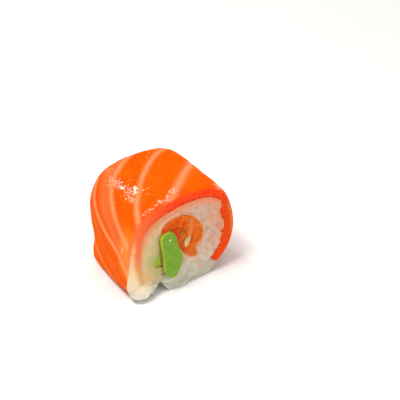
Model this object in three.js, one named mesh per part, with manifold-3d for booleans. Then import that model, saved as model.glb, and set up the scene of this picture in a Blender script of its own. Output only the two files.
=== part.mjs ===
// A salmon-wrapped maki roll, lying on its side so that both cut faces are upright.
// A slice of salmon is draped over a bed of sushi rice, which is rolled round a folded strip of
// salmon and slices of avocado. The slice stops short of the underside, where bare rice shows.
// Millimetres, +Z up. The roll's axis is Y, and its front cut face looks towards -Y.
import * as THREE from 'three';
import { mergeVertices } from 'three/addons/utils/BufferGeometryUtils.js';
import Module from 'manifold-3d';

// Driving dimensions. Each outline is a list of X and Z, clockwise as seen from the front.
const rollLength = 30; // from one cut face to the other
const rollSpan = 46; // its width and its height, at the largest
const rollGirth = 143; // the length of its outline, about
const axisHeight = 19;
const clearance = 0.25; // between a piece and its neighbour
const grainLength = 6; // a cooked grain of short rice
const grainWidth = 2.9;

// The roll's own outline at its two cut faces, from the tucked end of the slice over the top.
const frontOutline = [
  [-12.5, 0.8], [-18.0, 2.1], [-20.0, 7.2], [-20.2, 15.5], [-19.5, 23.5], [-17.6, 29.5],
  [-13.2, 34.2], [-7.0, 36.7], [0.0, 37.8], [7.2, 37.9], [14.4, 36.6], [20.0, 32.6],
  [23.2, 24.8], [23.7, 15.6], [20.5, 7.6], [13.8, 2.0], [5.5, -0.2], [-4.0, -0.3],
];
const backOutline = [
  [-12.0, 0.8], [-17.2, 1.2], [-17.9, 5.6], [-17.2, 12.0], [-18.1, 21.0], [-18.0, 30.4],
  [-14.5, 37.5], [-8.5, 40.3], [-2.0, 41.0], [4.8, 40.8], [12.0, 38.9], [17.2, 34.0],
  [19.4, 26.0], [19.8, 16.0], [18.0, 7.5], [12.8, 1.6], [5.5, -0.2], [-4.0, -0.3],
];
const bulge = { height: 0.9, reach: 2.2 }; // how the roll swells behind its two cuts

// The salmon slice round the rice, from its tucked end (share 0) to its right end (share 1).
const sheet = {
  rightEnd: 0.815, // share of the outline that it covers
  thicknesses: [3.0, 5.4, 4.4, 4.1, 3.2, 2.7, 3.2, 5.8, 5.4], // at even steps along it
  curlShare: 0.2, // the part that is tucked in
  curlDepth: { front: 4.6, back: 0.8, reach: 5 }, // reach: how soon the front's depth fades
  nose: 1.2, // rounding of its cut edges
  stations: 46,
};

// The fillings. Each stands proud of the front cut, or lies behind it where proud is below 0.
const avocado = {
  corners: [
    [-7.8, 23.4], [-7.1, 25.8], [-4.7, 26.5], [-2.2, 25.2], [-0.8, 20.0], [1.5, 15.2],
    [0.9, 11.2], [-1.9, 7.3], [-4.5, 7.3], [-6.3, 10.3], [-6.8, 16.8],
  ],
  proud: 1.7,
};
const avocadoOffcut = {
  corners: [[-10.4, 15.6], [-9.0, 17.2], [-7.6, 17.4], [-6.7, 15.0], [-6.6, 12.2], [-8.4, 11.9], [-10.0, 13.2]],
  proud: -0.5,
};
const avocadoSliver = {
  corners: [[4.4, 21.5], [5.3, 20.3], [4.9, 18.4], [3.6, 16.4], [2.6, 17.4], [3.1, 19.7]],
  proud: -0.2,
};
const salmonFold = {
  corners: [
    [-6.7, 26.4], [-6.2, 29.0], [-3.6, 30.6], [0.8, 30.9], [4.6, 29.5], [7.9, 26.2], [9.7, 21.6],
    [9.3, 17.8], [7.2, 15.0], [7.7, 12.3], [6.2, 11.3], [3.8, 12.5], [1.9, 15.4], [3.4, 18.0],
    [3.6, 22.4], [2.2, 25.2], [-0.6, 26.8], [-3.6, 26.8],
  ],
  proud: 0.3,
};
const salmonInside = {
  corners: [
    [-3.4, 28.0], [0.4, 28.0], [3.6, 25.6], [4.6, 21.5], [4.2, 16.0], [2.6, 14.4],
    [1.0, 15.6], [-1.8, 21.6], [-3.8, 26.0],
  ],
  proud: -0.6,
};
const drift = { turn: 14, right: 0.8, up: 1.4 }; // degrees and shift of the fillings at the back
// The open seam underneath, where the rolled bed of rice meets itself.
const seam = [
  [-10.4, -3.0], [-10.3, 4.1], [-8.8, 4.7], [-7.2, 5.3], [-6.1, 3.2], [-4.7, 1.2], [-3.2, -0.6], [-3.2, -3.0],
];
const lump = { centre: [-14.8, -13.5, 3.9], radii: [4.6, 3.4, 3.2] }; // rice pressed out under the slice

const rice = {
  coreDepth: 0.9, // of the bare core under the roll's outline
  coreRecess: 1.5, // of the core behind each cut
  grainSpacing: 3.9,
  grainSink: 1.0, // depth of a grain's middle behind a cut
  grainTilt: 22,
  seed: 8,
};

const degrees = Math.PI / 180;
const halfLength = rollLength / 2;
const wasm = await Module();
wasm.setup();

// ---- Outlines and the roll's outer form ----

function closedCurve(points) {
  return new THREE.CatmullRomCurve3(points, true, 'catmullrom', 0.5);
}

// A point outside a clockwise curve by a distance, at a share of the way round it.
function beside(curve, share, distance) {
  const at = THREE.MathUtils.euclideanModulo(share, 1);
  const along = curve.getTangent(at);
  return curve.getPoint(at).add(new THREE.Vector3(-along.z, 0, along.x).multiplyScalar(distance));
}

// The roll's outline at a place along its length.
function bodyCurve(y) {
  const share = (y + halfLength) / rollLength;
  const swell = bulge.height * (1 - Math.exp((Math.abs(y) - halfLength) / bulge.reach));
  const bare = frontOutline.map(([x, z], i) => {
    const [backX, backZ] = backOutline[i];
    return new THREE.Vector3(THREE.MathUtils.lerp(x, backX, share), y, THREE.MathUtils.lerp(z, backZ, share));
  });
  const curve = closedCurve(bare);
  return closedCurve(bare.map((_, i) => beside(curve, i / bare.length, swell)));
}

// ---- Solids ----

// Triangles that close a flat loop, turning the way that the loop does.
function capOf(loop) {
  const faces = THREE.ShapeUtils.triangulateShape(loop, []);
  return THREE.ShapeUtils.isClockWise(loop) ? faces.map((face) => face.toReversed()) : faces;
}

// A closed solid through rings of equal point counts. toFlat turns a point into a Vector2 for the end caps.
function loft(rings, toFlat) {
  const count = rings[0].length;
  const index = [];
  for (let r = 0; r + 1 < rings.length; r++) {
    for (let i = 0; i < count; i++) {
      const near = r * count + i;
      const next = r * count + ((i + 1) % count);
      index.push(near, next, near + count, next, next + count, near + count);
    }
  }
  const last = (rings.length - 1) * count;
  for (const [a, b, c] of capOf(rings[0].map(toFlat))) {
    index.push(c, b, a);
  }
  for (const [a, b, c] of capOf(rings.at(-1).map(toFlat))) {
    index.push(last + a, last + b, last + c);
  }
  const geometry = new THREE.BufferGeometry().setFromPoints(rings.flat());
  geometry.setIndex(index);
  return geometry;
}

function solidOf(geometry) {
  const bare = new THREE.BufferGeometry().setAttribute('position', geometry.getAttribute('position'));
  bare.setIndex(geometry.index);
  const merged = mergeVertices(bare, 1e-4);
  const mesh = { numProp: 3, vertProperties: merged.attributes.position.array };
  return new wasm.Manifold(new wasm.Mesh({ ...mesh, triVerts: new Uint32Array(merged.index.array) }));
}

function joined(solids) {
  return solids.reduce((all, one) => all.add(one));
}

// The largest body of a solid, without the scraps that cutting leaves.
function mainBody(solid) {
  return solid.decompose().reduce((largest, one) => (one.volume() > largest.volume() ? one : largest));
}

function geometryOf(solid) {
  const { numProp, vertProperties, triVerts } = solid.getMesh();
  const places = new THREE.InterleavedBuffer(vertProperties, numProp);
  const geometry = new THREE.BufferGeometry();
  geometry.setAttribute('position', new THREE.InterleavedBufferAttribute(places, 3, 0));
  geometry.setIndex(new THREE.BufferAttribute(triVerts, 1));
  return geometry;
}

// ---- The salmon slice ----

function sheetThickness(share) {
  const place = THREE.MathUtils.clamp(share, 0, 1) * (sheet.thicknesses.length - 1);
  const before = Math.min(Math.floor(place), sheet.thicknesses.length - 2);
  return THREE.MathUtils.lerp(sheet.thicknesses[before], sheet.thicknesses[before + 1], place - before);
}

// How deep the slice's outer side lies under the outline where its tucked end curls in.
function curlDepth(share, y) {
  const tucked = Math.max(0, 1 - share / sheet.curlShare);
  const { front, back, reach } = sheet.curlDepth;
  return THREE.MathUtils.lerp(back, front, Math.exp(-(y + halfLength) / reach)) * tucked ** 2;
}

// Places round the slice's section: along the roll, and through the slice from outside (0) to inside (1).
function sheetSection(grow) {
  const edge = halfLength + grow;
  const noseSteps = 4;
  const lengthSteps = 8;
  const half = [];
  for (let k = 0; k <= noseSteps; k++) {
    const turn = Math.PI * (k / noseSteps - 0.5);
    half.push({ y: sheet.nose * (1 - Math.cos(turn)) - edge, through: (1 + Math.sin(turn)) / 2 });
  }
  for (let k = 1; k < lengthSteps; k++) {
    const fromMiddle = (2 * k) / lengthSteps - 1;
    half.push({ y: (edge - sheet.nose) * Math.sign(fromMiddle) * Math.abs(fromMiddle) ** 0.7, through: 1 });
  }
  return [...half, ...half.map(({ y, through }) => ({ y: -y, through: 1 - through }))];
}

function salmonSheet(grow = 0) {
  const section = sheetSection(grow).map((place) => ({ ...place, curve: bodyCurve(place.y) }));
  const endLength = 0.012; // share over which its two ends are rounded off
  const shares = [0, endLength / 4];
  for (let k = 0; k <= sheet.stations; k++) {
    shares.push(endLength + (k / sheet.stations) * (1 - 2 * endLength));
  }
  shares.push(1 - endLength / 4, 1);
  const rings = shares.map((share) => {
    const toEnd = Math.min(share, 1 - share, endLength) / endLength;
    const thin = 0.35 + 0.65 * Math.sqrt(1 - (1 - toEnd) ** 2);
    const reach = share * sheet.rightEnd + ((2 * share - 1) * grow) / rollGirth;
    const thickness = sheetThickness(share) + 2 * grow;
    return section.map(({ y, through, curve }) => {
      const within = THREE.MathUtils.lerp(0.5, through, thin) * thickness;
      return beside(curve, reach, grow - curlDepth(share, y) - within);
    });
  });
  return loft(rings, (p) => new THREE.Vector2(p.y, Math.hypot(p.x, p.z - axisHeight)));
}

// ---- Fillings ----

// A filling's outline at a place along the roll. It wanders a little, as a hand-laid strip does.
function fillingRing(corners, y, grow) {
  const share = (y + halfLength) / rollLength;
  const pivot = new THREE.Vector2(0, axisHeight);
  const points = corners.map(([x, z]) => {
    const p = new THREE.Vector2(x, z).rotateAround(pivot, drift.turn * degrees * share);
    return new THREE.Vector3(p.x + drift.right * share, y, p.y + drift.up * share);
  });
  const curve = closedCurve(points);
  const count = corners.length * 2;
  return Array.from({ length: count }, (_, i) => beside(curve, i / count, grow));
}

// A filling as a solid. Its ends are softened, and a grown one is the channel that it lies in.
function filling({ corners, proud }, grow = 0, over = 0) {
  const front = -halfLength - proud - over;
  const back = halfLength + Math.min(proud, 0.2) + over;
  const soft = 0.4;
  const inset = over ? 0 : 0.25;
  const places = [[front, -inset], [front + soft, 0]];
  const steps = 5;
  for (let k = 1; k < steps; k++) {
    places.push([THREE.MathUtils.lerp(front + soft, back - soft, k / steps), 0]);
  }
  places.push([back - soft, 0], [back, -inset]);
  const rings = places.map(([y, swell]) => fillingRing(corners, y, grow + swell));
  return solidOf(loft(rings, (p) => new THREE.Vector2(p.x, p.z)));
}

function channel(piece) {
  return filling(piece, clearance, grainLength);
}

// ---- Rice ----

// Repeatable random numbers from 0 to 1.
function randomFrom(seed) {
  let state = seed;
  return () => {
    state = (state * 1664525 + 1013904223) % 4294967296;
    return state / 4294967296;
  };
}

// An ellipsoid of few sides, whose second radius lies along a direction.
function ellipsoid(centre, radii, direction, sides) {
  const shape = new THREE.SphereGeometry(1, sides, Math.round(sides * 0.7));
  const turn = new THREE.Quaternion().setFromUnitVectors(new THREE.Vector3(0, 1, 0), direction);
  const place = new THREE.Matrix4().compose(centre, turn, new THREE.Vector3(...radii));
  return solidOf(shape.applyMatrix4(place));
}

function grain(centre, direction, random) {
  const size = 0.88 + 0.24 * random();
  const half = (grainWidth / 2) * size;
  return ellipsoid(centre, [half, (grainLength / 2) * size, half], direction, 5);
}

// Grains spread over a patch: propose() offers a centre and a lie, or nothing where no grain may go.
function grainsOver(propose, tries, random) {
  const centres = [];
  const grains = [];
  for (let n = 0; n < tries; n++) {
    const offer = propose();
    if (!offer || centres.some((c) => c.distanceTo(offer.centre) < rice.grainSpacing)) {
      continue;
    }
    centres.push(offer.centre);
    grains.push(grain(offer.centre, offer.lie.normalize(), random));
  }
  return grains;
}

function inside(outline, x, z) {
  return outline.reduce((odd, p, i) => {
    const q = outline.at(i - 1);
    const crosses = p.z > z !== q.z > z && x < p.x + ((q.x - p.x) * (z - p.z)) / (q.z - p.z);
    return crosses ? !odd : odd;
  }, false);
}

// The edge of the bare rice at a cut: inside the slice, and inside the outline where there is none.
function riceEdge(y) {
  const curve = bodyCurve(y);
  const count = 72;
  return Array.from({ length: count }, (_, i) => {
    const share = i / count / sheet.rightEnd;
    const depth = share < 1 ? curlDepth(share, y) + sheetThickness(share) : rice.coreDepth;
    return beside(curve, i / count, -depth - grainWidth * 0.3);
  });
}

function faceGrains(side, pieces, random) {
  const y = side * (halfLength - rice.grainSink);
  const edge = riceEdge(y);
  const holes = pieces.map(({ corners }) => fillingRing(corners, y, 0));
  const propose = () => {
    const x = (random() - 0.5) * rollSpan;
    const z = random() * rollSpan;
    const lie = random() * Math.PI;
    const tilt = (2 * random() - 1) * rice.grainTilt * degrees;
    const jitter = (random() - 0.5) * 0.7;
    if (!inside(edge, x, z) || holes.some((hole) => inside(hole, x, z))) {
      return null;
    }
    return {
      centre: new THREE.Vector3(x, y + jitter, z),
      lie: new THREE.Vector3(Math.cos(lie), Math.sin(tilt), Math.sin(lie)),
    };
  };
  return grainsOver(propose, 2500, random);
}

// Grains of the bare underside, between the two ends of the slice.
function underGrains(random) {
  const propose = () => {
    const share = THREE.MathUtils.lerp(sheet.rightEnd + 0.015, 0.99, random());
    const y = (2 * random() - 1) * (halfLength - grainWidth);
    const lie = random() * Math.PI;
    const centre = beside(bodyCurve(y), share, -grainWidth * 0.44);
    return { centre, lie: new THREE.Vector3(Math.cos(lie), Math.sin(lie), 0) };
  };
  return grainsOver(propose, 500, random);
}

function riceCore() {
  const edge = halfLength - rice.coreRecess;
  const steps = 5;
  const count = 45;
  const rings = [];
  for (let k = 0; k <= steps; k++) {
    const curve = bodyCurve(edge * ((2 * k) / steps - 1));
    rings.push(Array.from({ length: count }, (_, i) => beside(curve, i / count, -rice.coreDepth)));
  }
  return solidOf(loft(rings, (p) => new THREE.Vector2(p.x, p.z)));
}

function lumpOfRice(random) {
  const middle = new THREE.Vector3(...lump.centre);
  const bare = ellipsoid(middle, lump.radii, new THREE.Vector3(0, 1, 0), 9);
  const propose = () => {
    const around = (random() * 2 - 1) * Math.PI;
    const rise = (random() - 0.5) * Math.PI * 0.8;
    const out = new THREE.Vector3().setFromSphericalCoords(1, Math.PI / 2 - rise, around);
    const lie = new THREE.Vector3(random() - 0.5, random() - 0.5, random() - 0.5);
    const centre = out.clone().multiply(new THREE.Vector3(...lump.radii)).multiplyScalar(0.7).add(middle);
    return { centre, lie: lie.cross(out) };
  };
  return [bare, ...grainsOver(propose, 200, random)];
}

// A wedge along the whole underside, with its point up.
function seamCutter() {
  const wedge = new THREE.Shape(seam.map(([x, z]) => new THREE.Vector2(x, z)));
  const prism = new THREE.ExtrudeGeometry(wedge, { depth: 2 * rollLength, bevelEnabled: false });
  return solidOf(prism.rotateX(Math.PI / 2).translate(0, rollLength, 0));
}

function board() {
  const size = 4 * rollSpan;
  return solidOf(new THREE.BoxGeometry(size, size, size).translate(0, 0, -size / 2));
}

function riceBed(pieces) {
  const random = randomFrom(rice.seed);
  const grains = [
    ...faceGrains(-1, pieces, random),
    ...faceGrains(1, pieces, random),
    ...underGrains(random),
    ...lumpOfRice(random),
  ];
  const taken = joined([solidOf(salmonSheet(clearance)), seamCutter(), board(), ...pieces.map(channel)]);
  return mainBody(joined([riceCore(), ...grains]).subtract(taken));
}

// ---- The parts, each a named mesh ----

const finishes = {
  salmon: { color: 0xf26411, roughness: 0.35 },
  salmonCut: { color: 0xdc5a1e, roughness: 0.45 },
  rice: { color: 0xefe6d8, roughness: 0.6 },
  avocado: { color: 0x7fa838, roughness: 0.45 },
  avocadoPale: { color: 0xd9d28a, roughness: 0.5 },
};

function part(name, geometry, finish) {
  const mesh = new THREE.Mesh(geometry, new THREE.MeshStandardMaterial({ metalness: 0, ...finish }));
  mesh.name = name;
  return mesh;
}

const fillings = [avocado, avocadoOffcut, avocadoSliver, salmonFold, salmonInside];
const strip = filling(salmonFold)
  .add(filling(salmonInside))
  .subtract(channel(avocado))
  .subtract(channel(avocadoSliver));
const offcut = filling(avocadoOffcut).subtract(channel(avocado));

const roll = new THREE.Group();
roll.add(
  part('salmon_wrap', salmonSheet(), finishes.salmon),
  part('rice', geometryOf(riceBed(fillings)), finishes.rice),
  part('salmon_strip', geometryOf(mainBody(strip)), finishes.salmonCut),
  part('avocado_slice', geometryOf(filling(avocado)), finishes.avocado),
  part('avocado_offcut', geometryOf(mainBody(offcut)), finishes.avocado),
  part('avocado_sliver', geometryOf(filling(avocadoSliver)), finishes.avocadoPale),
);

// The origin is under the middle of the roll's box, on the surface that it rests on.
const box = new THREE.Box3().setFromObject(roll);
const middle = box.getCenter(new THREE.Vector3());
roll.position.set(-middle.x, -middle.y, -box.min.z);

export default roll;
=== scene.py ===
import math
import random

import bpy
import numpy as np
from mathutils import Matrix, Vector, noise
from mathutils.bvhtree import BVHTree
from mathutils.kdtree import KDTree


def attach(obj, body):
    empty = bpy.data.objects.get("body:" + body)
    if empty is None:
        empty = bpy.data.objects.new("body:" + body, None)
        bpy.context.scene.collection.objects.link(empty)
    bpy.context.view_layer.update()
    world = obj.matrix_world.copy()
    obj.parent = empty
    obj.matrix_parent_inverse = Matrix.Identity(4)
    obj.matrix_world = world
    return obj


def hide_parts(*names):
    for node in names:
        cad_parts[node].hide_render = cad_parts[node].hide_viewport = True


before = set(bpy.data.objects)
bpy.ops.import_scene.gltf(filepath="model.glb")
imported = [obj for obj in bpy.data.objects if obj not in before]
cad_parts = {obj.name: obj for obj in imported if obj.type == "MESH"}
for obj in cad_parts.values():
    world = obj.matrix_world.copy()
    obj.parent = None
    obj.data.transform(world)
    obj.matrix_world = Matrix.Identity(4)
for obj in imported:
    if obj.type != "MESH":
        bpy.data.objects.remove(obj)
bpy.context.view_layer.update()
scene = bpy.context.scene
scene.view_settings.view_transform = "Standard"
print("frame loaded:", ", ".join(sorted(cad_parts)))

# The roll is shaped in mm round its own axis, along Y. finishPiece puts each piece into the frame.
# A share of the outline runs from 0 under the left side, over the top, to 1.
roll = {
    "length": 30.0,
    "girth": 143.0,
    "axisHeight": 19.0,
    "frameShift": (-1.7582, 0.4027, 0.0),
    "swell": 0.9, "swellReach": 2.2,  # how it swells behind its two cuts
    # outlines at the two cuts, X and Z, clockwise as seen from the front
    "frontOutline": (
        (-12.5, 0.8), (-18.0, 2.1), (-20.0, 7.2), (-20.2, 15.5), (-19.5, 23.5), (-17.6, 29.5),
        (-13.2, 34.2), (-7.0, 36.7), (0.0, 37.8), (7.2, 37.9), (14.4, 36.6), (20.0, 32.6),
        (23.2, 24.8), (23.7, 15.6), (20.5, 7.6), (13.8, 2.0), (5.5, -0.2), (-4.0, -0.3)),
    "backOutline": (
        (-12.0, 0.8), (-17.2, 1.2), (-17.9, 5.6), (-17.2, 12.0), (-18.1, 21.0), (-18.0, 30.4),
        (-14.5, 37.5), (-8.5, 40.3), (-2.0, 41.0), (4.8, 40.8), (12.0, 38.9), (17.2, 34.0),
        (19.4, 26.0), (19.8, 16.0), (18.0, 7.5), (12.8, 1.6), (5.5, -0.2), (-4.0, -0.3)),
}
halfLength = roll["length"] / 2
frontOutline, backOutline = np.array(roll["frontOutline"]), np.array(roll["backOutline"])


# Curves and outlines

def alongLoop(corners, shares):  # places on a smooth closed loop, and the way out of it there
    count = len(corners)
    place = np.mod(np.asarray(shares, float), 1.0) * count
    start = np.floor(place).astype(int)
    t = (place - start)[:, None]
    a, b, c, d = (corners[(start + k) % count] for k in (-1, 0, 1, 2))
    leave, arrive = (c - a) / 2, (d - b) / 2
    square, cube = -3 * b + 3 * c - 2 * leave - arrive, 2 * b - 2 * c + leave + arrive
    spot = b + leave * t + square * t**2 + cube * t**3
    run = leave + 2 * square * t + 3 * cube * t**2
    run /= np.linalg.norm(run, axis=1, keepdims=True)
    return spot, np.stack([-run[:, 1], run[:, 0]], 1)


def besideLoop(corners, shares, distance):
    spot, outward = alongLoop(corners, shares)
    return spot + outward * np.broadcast_to(distance, len(spot))[:, None]


def bodyOutline(y):
    share = (y + halfLength) / roll["length"]
    swell = roll["swell"] * (1 - math.exp((abs(y) - halfLength) / roll["swellReach"]))
    bare = frontOutline * (1 - share) + backOutline * share
    return besideLoop(bare, np.arange(len(bare)) / len(bare), swell)


def withHeight(flat, y):  # X and Z pairs become points at that Y
    return np.column_stack([flat[:, 0], np.broadcast_to(y, len(flat)), flat[:, 1]])


def insideLoop(loop, x, z):
    nextPoint = np.roll(loop, -1, axis=0)
    above = (loop[:, 1] > z) != (nextPoint[:, 1] > z)
    rise = nextPoint[:, 1] - loop[:, 1]
    rise[rise == 0] = 1e-9
    crossing = loop[:, 0] + (nextPoint[:, 0] - loop[:, 0]) * (z - loop[:, 1]) / rise
    return bool(np.count_nonzero(above & (x < crossing)) % 2)


def distanceToPath(points, path):  # from each X, Z point to an open line of X, Z points
    best = np.full(len(points), 1e9)
    for start, end in zip(path[:-1], path[1:]):
        run = end - start
        share = np.clip(((points - start) @ run) / (run @ run), 0, 1)[:, None]
        best = np.minimum(best, np.linalg.norm(points - start - run * share, axis=1))
    return best


def fadeIn(low, high, value):  # from 0 at low to 1 at high
    t = np.clip((np.asarray(value, float) - low) / (high - low), 0, 1)
    return t * t * (3 - 2 * t)


def fadeOut(low, high, value):
    return 1 - fadeIn(low, high, value)


def near(distance, width):  # 1 at no distance, and next to nothing two widths away
    return np.exp(-(distance / width) ** 2)


def noiseAt(points, size, seed=0.0):  # smooth noise from about -1 to 1, with features of that size in mm
    shift = Vector((seed * 17.3, seed * 5.1 + 3.7, -seed * 9.7))
    return np.array([noise.noise(Vector(p) / size + shift) for p in points])


# Meshes

def meshObject(name, points, faces):
    mesh = bpy.data.meshes.new(name)
    mesh.from_pydata(np.asarray(points).tolist(), [], faces)
    mesh.validate()
    mesh.update()
    made = bpy.data.objects.new(name, mesh)
    scene.collection.objects.link(made)
    return made


def pointsOf(made, what="co"):
    values = np.empty(len(made.data.vertices) * 3, np.float32)
    made.data.vertices.foreach_get(what, values)
    return values.reshape(-1, 3).astype(float)


def movePoints(made, points):
    made.data.vertices.foreach_set("co", np.asarray(points, np.float32).ravel())
    made.data.update()


def ringFaces(ringCount, ringSize):
    faces = []
    for r in range(ringCount - 1):
        for i in range(ringSize):
            corner, beyond = r * ringSize + i, r * ringSize + (i + 1) % ringSize
            faces.append((corner, beyond, beyond + ringSize, corner + ringSize))
    return faces


def loopFaces(ringCount, ringSize):  # closed at both ends
    last = (ringCount - 1) * ringSize
    ends = [tuple(reversed(range(ringSize))), tuple(last + i for i in range(ringSize))]
    return ringFaces(ringCount, ringSize) + ends


def ballTemplate(rings, sides):  # a ball of radius 1 with its poles on X
    points = []
    for r in range(1, rings):
        turn = math.pi * r / rings
        for k in range(sides):
            spin = 2 * math.pi * k / sides
            points.append((math.cos(turn), math.sin(turn) * math.cos(spin), math.sin(turn) * math.sin(spin)))
    points += [(1, 0, 0), (-1, 0, 0)]
    faces = [(a, d, c, b) for a, b, c, d in ringFaces(rings - 1, sides)]
    tip, tail, last = len(points) - 2, len(points) - 1, (rings - 2) * sides
    faces += [(tip, k, (k + 1) % sides) for k in range(sides)]
    faces += [(tail, last + (k + 1) % sides, last + k) for k in range(sides)]
    return np.array(points, float), faces


def applyModifiers(made):
    graph = bpy.context.evaluated_depsgraph_get()
    plain = bpy.data.meshes.new_from_object(made.evaluated_get(graph))
    before = made.data
    made.modifiers.clear()
    made.data = plain
    bpy.data.meshes.remove(before)
    return made


def remesh(made, voxel, rounds):
    grid = made.modifiers.new("grid", "REMESH")
    grid.mode = "VOXEL"
    grid.voxel_size = voxel
    soft = made.modifiers.new("soft", "SMOOTH")
    soft.factor = 0.5
    soft.iterations = rounds
    return applyModifiers(made)


def lighten(made, triangles):
    lighter = made.modifiers.new("lighter", "DECIMATE")
    lighter.ratio = triangles / sum(len(face.vertices) - 2 for face in made.data.polygons)
    return applyModifiers(made)


def combine(made, other, operation):  # the other piece is used up
    change = made.modifiers.new("change", "BOOLEAN")
    change.operation = operation
    change.solver = "MANIFOLD"
    change.object = other
    applyModifiers(made)
    bpy.data.objects.remove(other)
    return made


def roughen(made, *layers):  # each layer is a depth and a size in mm
    points, normals = pointsOf(made), pointsOf(made, "normal")
    lift = sum(depth * noiseAt(points, size, k + 11) for k, (depth, size) in enumerate(layers))
    movePoints(made, points + normals * lift[:, None])


def copyOf(made):
    copy = bpy.data.objects.new(made.name + "Copy", made.data.copy())
    scene.collection.objects.link(copy)
    return copy


def surfaceOf(made):  # for finding places on it later
    return BVHTree.FromObject(made, bpy.context.evaluated_depsgraph_get())


def setMask(made, name, values):
    layer = made.data.attributes.new(name, "FLOAT", "POINT")
    layer.data.foreach_set("value", np.clip(values, 0, 1).astype(np.float32))


def finishPiece(made, name, material, slotName, *nodes):  # into the frame, dressed and on its body
    made.name = name
    made.data.transform(Matrix.Scale(0.001, 4) @ Matrix.Translation(roll["frameShift"]))
    made.data.materials.clear()
    made.data.materials.append(material)
    made.data.polygons.foreach_set("use_smooth", [True] * len(made.data.polygons))
    made.data.update()
    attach(made, "root")
    if nodes:
        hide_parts(*nodes)
    print(f"{name}: {len(made.data.polygons)} faces")


# Materials

class Shader:
    def __init__(self, name):
        self.material = bpy.data.materials.new(name)
        self.material.use_nodes = True
        self.tree = self.material.node_tree
        self.surface = self.tree.nodes["Principled BSDF"]
        self.place = self.node("ShaderNodeTexCoord").outputs["Object"]

    def node(self, kind, **settings):
        made = self.tree.nodes.new(kind)
        for name, value in settings.items():
            setattr(made, name, value)
        return made

    def feed(self, socket, value):
        if isinstance(value, bpy.types.NodeSocket):
            self.tree.links.new(value, socket)
        else:
            socket.default_value = value

    def finished(self, colour, normal, roughness, specular, subsurface=(), coat=()):
        settings = {"Base Color": colour, "Roughness": roughness, "Specular IOR Level": specular}
        settings.update(zip(("Subsurface Weight", "Subsurface Scale", "Subsurface Radius"), subsurface))
        settings.update(zip(("Coat Weight", "Coat Roughness", "Coat Normal"), coat))
        if normal is not None:
            settings["Normal"] = normal
        for name, value in settings.items():
            self.feed(self.surface.inputs[name], value)
        return self.material

    def mask(self, name, output="Fac"):
        return self.node("ShaderNodeAttribute", attribute_name=name).outputs[output]

    def grainOf(self, size, detail=3.0, roughness=0.55, place=None, warp=0.0):  # noise, size in mm
        made = self.node("ShaderNodeTexNoise")
        self.feed(made.inputs["Vector"], place or self.place)
        settings = {"Scale": 1000 / size, "Detail": detail, "Roughness": roughness, "Distortion": warp}
        for socket, value in settings.items():
            made.inputs[socket].default_value = value
        return made.outputs["Fac"]

    def remap(self, value, low, high, newLow=0.0, newHigh=1.0):
        made = self.node("ShaderNodeMapRange", interpolation_type="SMOOTHSTEP")
        for socket, part in zip(made.inputs[:5], (value, low, high, newLow, newHigh)):
            self.feed(socket, part)
        return made.outputs["Result"]

    def times(self, first, second):
        made = self.node("ShaderNodeMath", operation="MULTIPLY")
        for socket, value in zip(made.inputs, (first, second)):
            self.feed(socket, value)
        return made.outputs["Value"]

    def blend(self, share, first, second):
        made = self.node("ShaderNodeMix", data_type="RGBA")
        self.feed(made.inputs["Factor"], share)
        for socket, tone in ((made.inputs[6], first), (made.inputs[7], second)):
            self.feed(socket, tone if isinstance(tone, bpy.types.NodeSocket) else (*tone, 1))
        return made.outputs[2]

    def tint(self, below, name, tone, strength=None):  # that tone where the mask lies
        share = self.mask(name)
        return self.blend(share if strength is None else self.times(share, strength), below, tone)

    def mottle(self, below, tone, grain, low, high, most=1.0, least=0.0):  # that tone where the grain is high
        return self.blend(self.remap(grain, low, high, least, most), below, tone)

    def bump(self, height, depth, below=None):  # depth in mm
        made = self.node("ShaderNodeBump")
        self.feed(made.inputs["Height"], height)
        made.inputs["Distance"].default_value = depth / 1000
        if below is not None:
            self.feed(made.inputs["Normal"], below)
        return made.outputs["Normal"]


# The slice of salmon round the roll

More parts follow.
